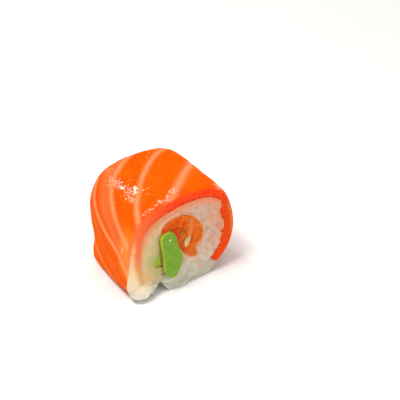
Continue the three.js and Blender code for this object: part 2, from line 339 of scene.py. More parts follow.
salmonSlice = {
    "rightEnd": 0.815,  # share of the outline that it covers
    # its thickness in mm at shares of its own length
    "thicknessPlaces": (0, 0.125, 0.25, 0.375, 0.5, 0.625, 0.735, 0.80, 0.875, 1),
    "thicknesses": (3.0, 5.4, 4.4, 4.1, 3.2, 2.7, 3.1, 5.8, 6.0, 5.4),
    "endLength": 0.012, "endThinness": 0.35,  # share of its length that rounds off, and how thin it gets
    "curlShare": 0.2, "curlFront": 4.6, "curlBack": 0.8, "curlReach": 5.0,
    # rounding at the cuts, outside and inside; below 1 the cut is flatter than a half round
    "nose": 1.2, "innerNose": 0.35, "noseSquare": 0.8,
    "stationsRound": 430, "stationsLong": 100, "stationsNose": 14, "stationsInside": 40,
    "swell": (0.22, 9.0), "ripple": (0.07, 2.6), "cutRelief": (0.16, 1.3),  # depth and size
    "groove": 0.13,
    "shoulder": 0.6, "shoulderReach": 3.0,  # how the outside rolls over into the cut
    # each pale line: shares of the outline from the front cut to the back cut, width in mm, strength
    "lines": (
        ((0.050, 0.077, 0.114, 0.160), 1.0, 0.45),
        ((0.136, 0.199, 0.230, 0.347), 1.1, 0.78),
        ((0.216, 0.272, 0.331, 0.475), 1.1, 0.88),
        ((0.302, 0.368, 0.453, 0.592), 0.95, 0.95),
        ((0.408, 0.513, 0.600, 0.698), 1.2, 0.95),
        ((0.575, 0.648, 0.736, 0.840), 1.2, 0.8),
        ((0.730, 0.783, 0.850, 0.930), 1.0, 0.6),
        ((0.178, 0.228, 0.285, 0.410), 1.9, 0.28),
        ((0.202, 0.254, 0.312, 0.450), 1.4, 0.26),
        ((0.090, 0.124, 0.181, 0.260), 1.6, 0.10),
    ),
    "lineWander": 0.004, "lineWanderSize": 6.0, "lineSharpness": 2.3,
    # a pale line on the front cut at the right, and where it starts and ends
    "lineOnCut": {"through": 0.20, "width": 0.75, "start": (0.625, 0.655), "end": (0.705, 0.73)},
    # pale fat at the corner of the front cut: places on the outline, and how far it goes in and back
    "fatShares": (0.05, 0.113, 0.140, 0.158, 0.180, 0.200, 0.229, 0.269),
    "fatInward": (0.40, 0.68, 0.62, 0.52, 0.42, 0.42, 0.42, 0.22),
    "fatBack": (4.6, 2.4, 1.0, 0.6, 0.36, 0.30, 0.26, 0.20),
    # shares of the outline between which each zone fades
    "zones": {"tucked": (0.12, 0.24), "end": (0.05, 0.13), "leftSide": (0.26, 0.46)},
    "rightSide": (0.56, 0.66),
    "tones": {
        "flesh": ((0.82, 0.074, 0.0005), (0.85, 0.098, 0.001)),
        "streak": (0.92, 0.16, 0.006), "deep": (0.88, 0.085, 0.0005), "fleck": (0.76, 0.135, 0.003),
        "pale": (0.90, 0.225, 0.016),
        "line": (0.93, 0.255, 0.105), "lineLeft": (0.94, 0.320, 0.130),
        "cut": (0.82, 0.038, 0.004), "cutLeft": (0.88, 0.165, 0.050), "cutRight": (0.76, 0.055, 0.001),
        "cutFleck": (0.95, 0.16, 0.050), "cutTucked": (0.74, 0.40, 0.155), "cutEnd": (0.80, 0.57, 0.32),
        "cutLine": (0.80, 0.23, 0.065),
        "fat": (0.95, 0.44, 0.17), "fatTucked": (0.84, 0.69, 0.47), "fatEnd": (0.83, 0.75, 0.59),
    },
}


def sliceThickness(shares):
    return np.interp(shares, salmonSlice["thicknessPlaces"], salmonSlice["thicknesses"])


def curlDepth(shares, y):
    tucked = np.maximum(0, 1 - shares / salmonSlice["curlShare"])
    front = math.exp(-(y + halfLength) / salmonSlice["curlReach"])
    return (salmonSlice["curlBack"] * (1 - front) + salmonSlice["curlFront"] * front) * tucked**2


def sliceSection():  # Y and share of the thickness, 0 outside to 1 inside, round one cut through the slice
    square, inner, outer = (salmonSlice[key] for key in ("noseSquare", "stationsInside", "stationsLong"))
    turns = np.linspace(-math.pi / 2, math.pi / 2, salmonSlice["stationsNose"] + 1)
    nose = np.where(turns < 0, salmonSlice["nose"], salmonSlice["innerNose"])
    noseY = nose * (1 - np.abs(np.cos(turns)) ** square) - halfLength
    noseThrough = (1 + np.sign(turns) * np.abs(np.sin(turns)) ** square) / 2
    front = list(zip(noseY, noseThrough))
    inside = [(y, 1.0) for y in np.linspace(nose[-1] - halfLength, halfLength - nose[-1], inner + 1)[1:-1]]
    back = [(-y, through) for y, through in reversed(front)]
    outside = [(y, 0.0) for y in np.linspace(halfLength - nose[0], nose[0] - halfLength, outer + 1)[1:-1]]
    return front + inside + back + outside


def salmonSheet(section):  # the slice, and the share of the outline at each of its stations
    endLength, least = salmonSlice["endLength"], salmonSlice["endThinness"]
    ends = endLength * np.array([0, 0.1, 0.3, 0.6])
    middle = np.linspace(endLength, 1 - endLength, salmonSlice["stationsRound"])
    shares = np.concatenate([ends, middle, 1 - ends[::-1]])
    toEnd = np.minimum(np.minimum(shares, 1 - shares), endLength) / endLength
    thin = least + (1 - least) * np.sqrt(1 - (1 - toEnd) ** 2)
    reach = shares * salmonSlice["rightEnd"]
    thickness = sliceThickness(shares)
    grid = np.empty((len(shares), len(section), 3))
    for j, (y, through) in enumerate(section):
        within = (0.5 + (through - 0.5) * thin) * thickness
        grid[:, j] = withHeight(besideLoop(bodyOutline(y), reach, -curlDepth(shares, y) - within), y)
    return meshObject("SalmonWrap", grid.reshape(-1, 3), loopFaces(len(shares), len(section))), reach


def fatLines(roundAt, y):  # how much of a pale line lies at each place of the slice
    amount = np.zeros(len(y))
    t = y / halfLength
    for places, width, strength in salmonSlice["lines"]:
        bend = np.polyfit((-1, -1 / 3, 1 / 3, 1), places, 3)
        track = np.column_stack([y, np.full(len(y), places[1] * 90), y * 0])
        wander = noiseAt(track, salmonSlice["lineWanderSize"], 3) * salmonSlice["lineWander"]
        lean = np.polyval(np.polyder(bend), t) * roll["girth"] / halfLength
        across = (roundAt - np.polyval(bend, t) - wander) * roll["girth"] / np.sqrt(1 + lean**2)
        spread = np.abs(across / (width * (1.05 - 0.2 * t))) ** salmonSlice["lineSharpness"]
        amount = np.maximum(amount, strength * np.exp(-spread))
    return amount


section = sliceSection()
wrap, reach = salmonSheet(section)
roundAt = np.repeat(reach, len(section))
yAt = np.tile([y for y, through in section], len(reach))
throughAt = np.tile([through for y, through in section], len(reach))
unrolled = np.column_stack([roundAt * roll["girth"], yAt, throughAt * 4])
behindCut = halfLength - np.abs(yAt)
onCut = fadeIn(halfLength - 0.75, halfLength - 0.35, np.abs(yAt))
fat = fatLines(roundAt, yAt)


def sliceRelief():
    layers = [depth * noiseAt(unrolled, size, seed)
              for (depth, size), seed in ((salmonSlice["swell"], 1), (salmonSlice["ripple"], 2))]
    rollOver = fadeOut(0.2, salmonSlice["shoulderReach"], behindCut) * fadeIn(0.24, 0.36, roundAt)
    outside = sum(layers) - salmonSlice["groove"] * fat - salmonSlice["shoulder"] * rollOver
    depth, size = salmonSlice["cutRelief"]
    return outside * fadeOut(0.0, 0.5, throughAt) + onCut * depth * noiseAt(unrolled, size, 4)


def fatAtCorner():  # pale fat at the lower left, where the slice tucks under
    ragged = noiseAt(unrolled, 1.8, 5)
    inward = np.interp(roundAt, salmonSlice["fatShares"], salmonSlice["fatInward"]) + 0.06 * ragged
    backward = np.interp(roundAt, salmonSlice["fatShares"], salmonSlice["fatBack"]) + 0.12 * ragged
    amount = fadeOut(0.225, 0.285, roundAt + 0.01 * ragged)
    amount *= fadeOut(inward - 0.17, inward + 0.17, throughAt)
    return amount * (1 - fadeIn(backward - 0.25, backward + 0.25, yAt + halfLength) * (throughAt < 0.5))


def lineAcrossCut():
    line = salmonSlice["lineOnCut"]
    deep = (throughAt - line["through"]) * sliceThickness(roundAt / salmonSlice["rightEnd"])
    amount = near(deep, line["width"]) * (yAt < 0) * onCut
    return amount * fadeIn(*line["start"], roundAt) * fadeOut(*line["end"], roundAt)


movePoints(wrap, pointsOf(wrap) + pointsOf(wrap, "normal") * sliceRelief()[:, None])
setMask(wrap, "fatLine", fat * (1 - 0.6 * onCut))
setMask(wrap, "lineOnCut", lineAcrossCut())
setMask(wrap, "cutFace", fadeIn(halfLength - 1.9, halfLength - 0.5, np.abs(yAt)))
setMask(wrap, "fattyEdge", fatAtCorner())
for zone, limits in salmonSlice["zones"].items():
    setMask(wrap, zone, fadeOut(*limits, roundAt))
setMask(wrap, "rightSide", fadeIn(*salmonSlice["rightSide"], roundAt))
besideCorner = fadeIn(0.125, 0.17, roundAt) * fadeOut(0.25, 0.31, roundAt)
setMask(wrap, "paleFlesh", besideCorner * fadeOut(-12.0, -6.0, yAt))
flow = wrap.data.attributes.new("flow", "FLOAT_VECTOR", "POINT")  # runs with the pale lines
flow.data.foreach_set("vector", (np.column_stack([
    roundAt * roll["girth"] - 1.15 * yAt, yAt * 0.25, throughAt * 3]) / 1000).astype(np.float32).ravel())


def salmonFlesh():
    tones = salmonSlice["tones"]
    s = Shader("SalmonFlesh")
    streaks = s.grainOf(1.6, 4, 0.6, place=s.mask("flow", "Vector"))
    specks = s.grainOf(0.7, 3, 0.6)
    flesh = s.mottle(*tones["flesh"], s.grainOf(7.0, 3, 0.5), 0.35, 0.65)
    flesh = s.mottle(flesh, tones["streak"], streaks, 0.5, 0.75, 0.3)
    flesh = s.mottle(flesh, tones["deep"], specks, 0.35, 0.6, 0.0, 0.25)
    flesh = s.mottle(flesh, tones["fleck"], s.grainOf(0.9, 3, 0.6), 0.45, 0.65, 0.35)
    flesh = s.tint(flesh, "paleFlesh", tones["pale"], 0.8)
    line = s.tint(tones["line"], "leftSide", tones["lineLeft"])
    flesh = s.tint(flesh, "fatLine", line, s.remap(streaks, 0.25, 0.6, 0.70, 0.98))
    cut = s.tint(tones["cut"], "leftSide", tones["cutLeft"])
    cut = s.tint(cut, "rightSide", tones["cutRight"])
    cut = s.mottle(cut, tones["cutFleck"], specks, 0.45, 0.68, 0.55)
    cut = s.tint(cut, "tucked", s.tint(tones["cutTucked"], "end", tones["cutEnd"]))
    flesh = s.tint(flesh, "cutFace", cut)
    flesh = s.tint(flesh, "lineOnCut", tones["cutLine"], 0.8)
    cream = s.tint(tones["fat"], "tucked", tones["fatTucked"])
    cream = s.tint(cream, "end", tones["fatEnd"], 0.9)
    wet = s.bump(s.grainOf(1.5, 2, 0.5), 0.10)
    coatNormal = s.bump(s.grainOf(0.6, 1, 0.5), 0.20, wet)
    roughness = s.remap(s.grainOf(3.0, 3, 0.5), 0.35, 0.65, 0.30, 0.45)
    return s.finished(s.tint(flesh, "fattyEdge", cream), s.bump(specks, 0.06, wet), roughness, specular=0.0,
                      subsurface=(0.6, 0.0009, (1.0, 0.22, 0.08)), coat=(0.03, 0.06, coatNormal))


cutters = [copyOf(wrap)]  # what the rice is cut round
surfaces = {"wrap": surfaceOf(wrap)}
finishPiece(wrap, "SalmonWrap", salmonFlesh(), "salmon", "salmon_wrap")


# The fillings: corners at the front cut, X and Z, and how far each stands proud of it, below 0 behind it

drift = {"turn": 14.0, "right": 0.8, "up": 1.4}  # degrees and shift at the back
fillings = {
    "avocado": {"proud": 1.7, "corners": (
        (-7.8, 23.4), (-7.1, 25.8), (-4.7, 26.5), (-2.4, 25.2), (-1.0, 20.0), (0.7, 15.6),
        (0.2, 11.4), (-1.9, 7.3), (-4.5, 7.3), (-6.3, 10.3), (-6.8, 16.8))},
    "offcut": {"proud": -0.5, "corners": (
        (-10.4, 15.6), (-9.0, 17.2), (-7.6, 17.4), (-6.7, 15.0), (-6.6, 12.2), (-8.4, 11.9), (-10.0, 13.2))},
    "sliver": {"proud": -0.2, "corners": (
        (4.4, 21.5), (5.3, 20.3), (4.9, 18.4), (3.6, 16.4), (2.6, 17.4), (3.1, 19.7))},
    "fold": {"proud": 0.3, "corners": (
        (-6.7, 26.4), (-6.2, 29.0), (-3.6, 30.6), (0.8, 30.9), (4.6, 29.5), (7.9, 26.2), (9.7, 21.6),
        (9.1, 17.9), (6.5, 15.2), (7.4, 12.2), (6.1, 11.7), (3.8, 12.8), (1.9, 15.4), (3.4, 18.0),
        (3.6, 22.4), (2.2, 25.2), (-0.6, 26.8), (-3.6, 26.8))},
    "inside": {"proud": -0.6, "corners": (
        (-3.4, 28.0), (0.4, 28.0), (3.6, 25.6), (4.6, 21.5), (4.2, 16.0), (2.6, 14.4),
        (1.0, 15.6), (-1.8, 21.6), (-3.8, 26.0))},
}
fillingFit = {"grow": 0.1, "gap": 0.15, "cutterPast": 6.0}  # swelling, room at a neighbour, past the cuts


def fillingLoop(name, y, grow, perCorner=6):
    share = (y + halfLength) / roll["length"]
    angle = math.radians(drift["turn"] * share)
    corners = np.array(fillings[name]["corners"]) - (0, roll["axisHeight"])
    turn = np.array([(math.cos(angle), math.sin(angle)), (-math.sin(angle), math.cos(angle))])
    corners = corners @ turn + (drift["right"] * share, roll["axisHeight"] + drift["up"] * share)
    count = len(corners) * perCorner
    return besideLoop(corners, np.arange(count) / count, grow)


def fillingSolid(name, grow=fillingFit["grow"], over=0.0, steps=24):
    proud = fillings[name]["proud"]
    front, back = -halfLength - proud - over, halfLength + min(proud, 0.2) + over
    rings = [withHeight(fillingLoop(name, y, grow), y) for y in np.linspace(front, back, steps)]
    return meshObject(name, np.concatenate(rings), loopFaces(steps, len(rings[0])))


def cutBeside(made, name, grow=fillingFit["gap"]):
    return combine(made, fillingSolid(name, grow, fillingFit["cutterPast"]), "DIFFERENCE")


def awayFromFilling(name, flat):  # from each X, Z point to that filling's outline on the front cut
    loop = fillingLoop(name, -halfLength, 0.0)
    return distanceToPath(flat, np.vstack([loop, loop[:1]]))


# Avocado: the large slice and the small offcut beside it

avocado = {
    "voxel": 0.24, "soft": 3, "relief": ((0.12, 5.0), (0.05, 1.6)),
    "offcutSoft": 10, "offcutRelief": (0.30, 1.6), "offcutRim": 0.75, "smearWidth": 1.1, "smearStrength": 0.9,
    "flesh": ((0.150, 0.318, 0.008), (0.195, 0.372, 0.018)),
    # wall and rim are painted light: a lighter, yellower side wall, and a painted highlight on the left rim
    "tints": (("wall", (0.38, 0.42, 0.045)), ("rim", (0.37, 0.50, 0.022)), ("smeared", (0.44, 0.46, 0.10))),
}


def avocadoFlesh():
    s = Shader("AvocadoFlesh")
    butter = s.grainOf(2.4, 3, 0.5)
    green = s.mottle(*avocado["flesh"], butter, 0.35, 0.65)
    for name, tone in avocado["tints"]:
        green = s.tint(green, name, tone)
    normal = s.bump(s.grainOf(0.5, 3, 0.6), 0.04, s.bump(s.grainOf(1.8, 2, 0.5), 0.08))
    return s.finished(green, normal, s.remap(butter, 0.3, 0.7, 0.26, 0.40), specular=0.15,
                      subsurface=(0.4, 0.0006, (0.7, 1.0, 0.2)), coat=(0.15, 0.10))


def paintAvocadoSlice(made):  # painted light: yellower and lighter on its side wall, and a painted highlight on the left rim of its front
    points, normals = pointsOf(made), pointsOf(made, "normal")
    behind = points[:, 1] + halfLength + fillings["avocado"]["proud"]
    setMask(made, "wall", fadeIn(0.25, 0.8, behind) * (points[:, 1] < 0))
    # painted highlight on the faces turned to the left
    leftward = fadeIn(0.15, 0.55, -normals[:, 0] - 0.3 * normals[:, 2])
    setMask(made, "rim", leftward * fadeOut(0.35, 0.75, behind))


def paintOffcut(made):
    setMask(made, "rim", np.full(len(made.data.vertices), avocado["offcutRim"]))
    toEdge = awayFromFilling("offcut", pointsOf(made)[:, [0, 2]])
    setMask(made, "smeared", avocado["smearStrength"] * near(toEdge, avocado["smearWidth"]))


avocadoSlice = remesh(fillingSolid("avocado"), avocado["voxel"], avocado["soft"])
roughen(avocadoSlice, *avocado["relief"])
avocadoOffcut = remesh(cutBeside(fillingSolid("offcut"), "avocado"), avocado["voxel"], avocado["offcutSoft"])
roughen(avocadoOffcut, avocado["offcutRelief"])
paintAvocadoSlice(avocadoSlice)
paintOffcut(avocadoOffcut)
cutters += [copyOf(avocadoSlice), copyOf(avocadoOffcut)]
surfaces["avocado"] = surfaceOf(avocadoSlice)
avocadoMaterial = avocadoFlesh()
finishPiece(avocadoSlice, "AvocadoSlice", avocadoMaterial, "avocado", "avocado_slice")
finishPiece(avocadoOffcut, "AvocadoOffcut", avocadoMaterial, "avocado", "avocado_offcut")


# The pale sliver of avocado in the fold

sliver = {"voxel": 0.2, "soft": 4, "relief": (0.08, 1.5), "tones": ((0.62, 0.40, 0.13), (0.76, 0.52, 0.20))}


def avocadoPale():
    s = Shader("AvocadoPale")
    return s.finished(s.mottle(*sliver["tones"], s.grainOf(1.5), 0.35, 0.65), s.bump(s.grainOf(0.6), 0.05),
                      roughness=0.4, specular=0.4, subsurface=(0.4, 0.001))


avocadoSliver = remesh(fillingSolid("sliver"), sliver["voxel"], sliver["soft"])
roughen(avocadoSliver, sliver["relief"])
cutters.append(copyOf(avocadoSliver))
finishPiece(avocadoSliver, "AvocadoSliver", avocadoPale(), "avocado_pale", "avocado_sliver")


# The folded strip of salmon

foldedStrip = {
    "voxel": 0.3, "soft": 4, "relief": ((0.30, 3.0), (0.25, 1.4)),
    # pale lines at the front cut, X and Z, with a width in mm and a strength
    "lines": (
        (((5.2, 27.6), (5.1, 24.6), (4.6, 22.4), (4.2, 20.8)), 0.8, 0.9),
        (((3.2, 13.2), (4.4, 12.0), (6.4, 11.8)), 0.6, 0.6),
    ),
    # darker red and ochre places: X, Z, size in mm and strength
    "red": ((1.8, 27.6, 1.0, 0.9), (-0.9, 25.9, 1.3, 0.9), (-0.6, 23.4, 1.3, 0.9), (0.6, 21.4, 1.1, 0.8),
            (-6.0, 27.6, 1.2, 0.8), (-3.4, 28.4, 1.4, 0.6), (-0.6, 29.0, 1.4, 0.7), (2.9, 15.9, 0.8, 0.8),
            (1.4, 25.4, 1.0, 0.6)),
    "ochre": ((1.4, 19.8, 1.5, 0.9), (3.4, 13.8, 1.1, 0.8), (6.4, 12.6, 1.0, 0.7), (-3.4, 26.2, 0.8, 0.4),
              (3.4, 24.2, 0.9, 0.4)),
    # deep is partly painted shade: darker red behind the front cut, in the recess, over a redder inner flesh
    "flesh": ((0.66, 0.090, 0.002), (0.77, 0.160, 0.009)), "deep": (0.66, 0.030, 0.0005),
    # tints over these, in turn: mask, tone, low and high streak, and the strengths there
    "tints": (("red", (0.66, 0.026, 0.0005), (0.3, 0.5, 0.6, 1.0)),
              ("ochre", (0.50, 0.17, 0.02), (0.4, 0.6, 1.0, 0.5)),
              ("fatLine", (0.76, 0.24, 0.085), (0.35, 0.6, 0.7, 1.0))),
    "fleck": (0.80, 0.22, 0.05),
}


def salmonCut():
    s = Shader("SalmonCut")
    streaks = s.grainOf(1.3, 4, 0.65, warp=0.8)
    flesh = s.tint(s.mottle(*foldedStrip["flesh"], streaks, 0.38, 0.62), "deep", foldedStrip["deep"])
    for name, tone, limits in foldedStrip["tints"]:
        flesh = s.tint(flesh, name, tone, s.remap(streaks, *limits))
    flesh = s.mottle(flesh, foldedStrip["fleck"], s.grainOf(0.7, 3, 0.6), 0.52, 0.7, 0.3)
    normal = s.bump(s.grainOf(0.6, 3, 0.6), 0.08, s.bump(s.grainOf(1.6, 2, 0.5), 0.15))
    return s.finished(flesh, normal, s.remap(streaks, 0.3, 0.7, 0.25, 0.45), specular=0.0,
                      subsurface=(0.6, 0.0008, (1.0, 0.22, 0.08)), coat=(0.15, 0.08))


def paintStrip(made):
    points = pointsOf(made)
    fat = np.zeros(len(points))
    for path, width, strength in foldedStrip["lines"]:
        fat = np.maximum(fat, strength * near(distanceToPath(points[:, [0, 2]], np.array(path)), width))
    setMask(made, "fatLine", fat)
    for tone in ("red", "ochre"):
        amount = np.zeros(len(points))
        for x, z, size, strength in foldedStrip[tone]:
            amount = np.maximum(amount, strength * near(np.hypot(points[:, 0] - x, points[:, 2] - z), size))
        setMask(made, tone, amount * (points[:, 1] < 0))
    # painted shade in the recess: darker red behind the front cut, over a redder inner flesh
    nearBack = np.abs(points[:, 1]) < halfLength + 1.5
    setMask(made, "deep", fadeIn(0.2, 1.6, points[:, 1] + halfLength) * nearBack)


strip = combine(fillingSolid("fold"), fillingSolid("inside"), "UNION")
strip = cutBeside(cutBeside(strip, "avocado"), "sliver")
strip = remesh(strip, foldedStrip["voxel"], foldedStrip["soft"])
roughen(strip, *foldedStrip["relief"])
paintStrip(strip)
cutters.append(copyOf(strip))
surfaces["strip"] = surfaceOf(strip)
finishPiece(strip, "SalmonStrip", salmonCut(), "salmon_cut", "salmon_strip")


# Rice: a bed with whole grains at the cuts, the underside and the lump at the lower left. What it is cut
# round passes its masks on to it, so the rice's own masks have other names.

riceBed = {
    "seed": 7,
    "grainLength": 5.6, "grainWidth": 2.7, "rings": 12, "sides": 12,
    "spacing": 2.9, "deepSpacing": 2.7,
    "sink": 0.95, "deepSink": 1.9,  # of a grain's middle behind a cut
    "tries": 5000, "deepTries": 4000, "underTries": 900,
    "tilt": 22.0,
    "pressedReach": 3.0,  # nearer to a border than this, grains lie along it
    "coreDepth": 0.9, "coreRecess": 0.8, "coreRings": 16, "coreSides": 120,
    "voxel": 0.29, "soft": 3, "triangles": 190000,
    # grains over the slice's inner edge at the right: share of the outline, and mm inside that edge
    "overEdge": ((0.607, 0.5), (0.627, 0.4), (0.650, 1.7), (0.671, 0.3), (0.689, -0.1), (0.712, 1.7),
                 (0.735, 0.9), (0.755, 1.2)),
    "overEdgeSpan": (0.598, 0.612, 0.745, 0.765), "overEdgeSize": 0.92,
    # the open seam at the lower left, X and Z
    "seam": ((-10.4, -3.0), (-10.3, 4.1), (-8.8, 4.7), (-7.2, 5.3), (-6.1, 3.2), (-4.7, 1.2), (-3.2, -0.6),
             (-3.2, -3.0)),
    # each mark on the front cut: X and Z that it runs through, width in mm, strength
    "marks": {
        "drip": (((-14.6, 12.2), (-13.6, 9.6), (-12.5, 8.6), (-11.7, 8.3)), 1.4, 0.95),  # off the slice's end
        "avocadoSmear": (((-10.6, 15.4), (-9.6, 12.0), (-9.2, 9.2), (-10.2, 7.0)), 1.5, 1.0),
        "brown": (((-7.4, 11.2), (-7.0, 8.8), (-6.6, 6.2), (-8.4, 5.2)), 0.8, 0.8),
    },
    "tones": {
        "white": ((0.56, 0.59, 0.48), (0.70, 0.72, 0.62)), "dull": (0.50, 0.44, 0.27),
        # the lump tone is painted light, the lump lighter than the rest of the rice
        "lump": (0.76, 0.755, 0.64),
        "pink": ((0.69, 0.315, 0.190), (0.73, 0.25, 0.125)), "pinkPale": (0.60, 0.345, 0.235),
        "pinkTan": (0.66, 0.375, 0.150), "oil": ((0.76, 0.50, 0.29), (0.58, 0.52, 0.20)),
        # the crevice tone is painted shade, darker and pinker between the grains
        "creviceShade": (0.62, 0.30, 0.20), "speck": (0.50, 0.40, 0.30), "drip": (0.76, 0.42, 0.145),
    },
    # tints over these, in turn: mask, tone and strength
    "tints": (("green", (0.46, 0.41, 0.11), 0.85), ("stain", (0.86, 0.25, 0.10), 0.9),
              ("shade", (0.25, 0.26, 0.035), 0.9), ("brown", (0.40, 0.27, 0.09), 1.0),
              # low is painted shade, the rice greyer towards the bottom
              ("lumpTop", (0.76, 0.62, 0.39), 0.7), ("low", (0.46, 0.46, 0.37), 0.5)),
}
lump = {"seed": 12, "centre": (-15.0, -13.7, 4.2), "radii": (4.7, 3.4, 3.4),
        "spacing": 2.6, "grainSize": 0.92, "grainDepth": 0.64, "tries": 400}
draw = random.Random(riceBed["seed"])
grainTemplate, grainFaces = ballTemplate(riceBed["rings"], riceBed["sides"])


def riceGrain(centre, lie, size=1.0):  # a plump cooked grain, a little bent and thicker at one end
    x, y, z = grainTemplate.T
    half = riceBed["grainLength"] / 2 * size * draw.uniform(0.88, 1.1)
    wide = riceBed["grainWidth"] / 2 * size * draw.uniform(0.9, 1.08)
    thick = wide * draw.uniform(0.85, 1.0)
    blunt = np.sign(x) * np.abs(x) ** 0.9
    taper = 1 - draw.uniform(0.05, 0.2) * x
    bend = draw.uniform(-0.3, 0.3) * x**2
    shape = np.column_stack([blunt * half, y * wide * taper + bend, z * thick * taper])
    turn = Vector(lie).to_track_quat("X", "Z").to_matrix()
    spin = Matrix.Rotation(draw.uniform(0, 2 * math.pi), 3, "X")
    return shape @ np.array(turn @ spin).T + np.array(centre)


def farFromAll(centre, others, spacing):
    return all(np.linalg.norm(centre - other) >= spacing for other in others)


def riceEdge(y, count=144):  # the border between the rice and the slice
    shares = np.arange(count) / count
    onSlice = shares / salmonSlice["rightEnd"]
    depth = np.where(onSlice < 1, curlDepth(onSlice, y) + sliceThickness(onSlice), riceBed["coreDepth"])
    return besideLoop(bodyOutline(y), shares, -depth)


def faceGrains(side, sink, spacing, tries):
    y = side * (halfLength - sink)
    loops = [riceEdge(y)] + [fillingLoop(name, y, 0.3) for name in fillings]
    border = np.vstack(loops)
    along = np.vstack([np.roll(loop, -1, axis=0) - loop for loop in loops])
    centres, grains = [], []
    for _ in range(tries):
        x, z = draw.uniform(-21, 23), draw.uniform(0, 42)
        lie, tilt = draw.uniform(0, math.pi), draw.uniform(-1, 1) * math.radians(riceBed["tilt"])
        jitter = draw.uniform(-0.35, 0.35)
        if not insideLoop(loops[0], x, z) or any(insideLoop(hole, x, z) for hole in loops[1:]):
            continue
        centre = np.array((x, y + jitter, z))
        if not farFromAll(centre, centres, spacing):
            continue
        away = np.hypot(border[:, 0] - x, border[:, 1] - z)
        nearest = int(away.argmin())
        if away[nearest] < riceBed["pressedReach"]:
            follow = math.atan2(along[nearest][1], along[nearest][0])
            lie = follow + (draw.random() - 0.5) * math.pi * (away[nearest] / riceBed["pressedReach"]) ** 1.5
        centres.append(centre)
        grains.append(riceGrain(centre, (math.cos(lie), math.sin(tilt), math.sin(lie))))
    return grains


def underGrains():
    centres, grains = [], []
    for _ in range(riceBed["underTries"]):
        share = draw.uniform(salmonSlice["rightEnd"] + 0.012, 0.992)
        y = draw.uniform(-1, 1) * (halfLength - riceBed["grainWidth"])
        spot = besideLoop(bodyOutline(y), [share], -riceBed["grainWidth"] * 0.44)[0]
        centre = np.array((spot[0], y, spot[1]))
        lie = draw.uniform(0, math.pi)
        if farFromAll(centre, centres, riceBed["spacing"]):
            centres.append(centre)
            grains.append(riceGrain(centre, (math.cos(lie), math.sin(lie), 0)))
    return grains


def lumpGrains():  # grains round a ball
    draw.seed(lump["seed"])
    middle, radii = np.array(lump["centre"]), np.array(lump["radii"])
    centres, grains = [], []
    for _ in range(lump["tries"]):
        out = Vector((draw.gauss(0, 1), draw.gauss(0, 1), draw.gauss(0, 1))).normalized()
        lie = Vector((draw.random() - 0.5, draw.random() - 0.5, draw.random() - 0.5)).cross(out)
        centre = middle + np.array(out) * radii * lump["grainDepth"]
        if farFromAll(centre, centres, lump["spacing"]):
            centres.append(centre)
            grains.append(riceGrain(centre, lie, lump["grainSize"]))
    return grains + [grainTemplate[:, [1, 0, 2]] * radii + middle]


def edgeGrains():  # over the inner edge of the slice, at the right
    grains = []
    for share, within in riceBed["overEdge"]:
        depth = sliceThickness(share / salmonSlice["rightEnd"]) + within
        spot, outward = alongLoop(bodyOutline(-halfLength), [share])
        x, z = (spot - outward * depth)[0]
        lie = math.atan2(outward[0][1], outward[0][0]) + math.radians(draw.choice((25, 65, 90, 115)))
        y = draw.uniform(-0.2, 0.25) - halfLength + 0.75
        grains.append(riceGrain((x, y, z), (math.cos(lie), 0.1, math.sin(lie)), riceBed["overEdgeSize"]))
    return grains


def riceCore():
    edge, rings, sides = halfLength - riceBed["coreRecess"], riceBed["coreRings"], riceBed["coreSides"]
    loops = [withHeight(besideLoop(bodyOutline(y), np.arange(sides) / sides, -riceBed["coreDepth"] - 0.4), y)
             for y in np.linspace(-edge, edge, rings)]
    return np.concatenate(loops), loopFaces(rings, sides)


def seamCutter():
    wedge = np.array(riceBed["seam"])
    rings = [withHeight(wedge, y) for y in (-roll["length"], roll["length"])]
    return meshObject("seam", np.concatenate(rings), loopFaces(2, len(wedge)))


def riceMesh(grains):
    corePoints, faces = riceCore()
    start = len(corePoints)
    for grain in grains:
        faces += [tuple(start + k for k in face) for face in grainFaces]
        start += len(grain)
    made = meshObject("Rice", np.concatenate([corePoints] + grains), faces)
    made = remesh(made, riceBed["voxel"], riceBed["soft"])
    for cutter in [seamCutter()] + cutters:
        combine(made, cutter, "DIFFERENCE")
    for name in fillings:
        cutBeside(made, name, -0.4)
    return lighten(made, riceBed["triangles"])


def sliceEdge(first, last):  # the slice's inner edge at the front cut, and the way to its outside
    onSlice = np.linspace(first, last, 90)
    spot, outward = alongLoop(bodyOutline(-halfLength), onSlice * salmonSlice["rightEnd"])
    return spot - outward * (curlDepth(onSlice, -halfLength) + sliceThickness(onSlice))[:, None], outward


def pastEdge(points, edge, outward):  # how far X, Z points lie outside the edge, and where along it
    best, past, place = np.full(len(points), 1e9), np.zeros(len(points)), np.zeros(len(points))
    for step, (spot, way) in enumerate(zip(edge, outward)):
        gap = points - spot
        far = np.hypot(gap[:, 0], gap[:, 1])
        closer = far < best
        best[closer] = far[closer]
        past[closer] = (gap @ way)[closer]
        place[closer] = step / (len(edge) - 1)
    return past, place


grains = []
for side in (-1, 1):
    grains += faceGrains(side, riceBed["sink"], riceBed["spacing"], riceBed["tries"])
    grains += faceGrains(side, riceBed["deepSink"], riceBed["deepSpacing"], riceBed["deepTries"])
grains += underGrains() + lumpGrains() + edgeGrains()
print(f"rice: {len(grains)} grains")
rice = riceMesh(grains)

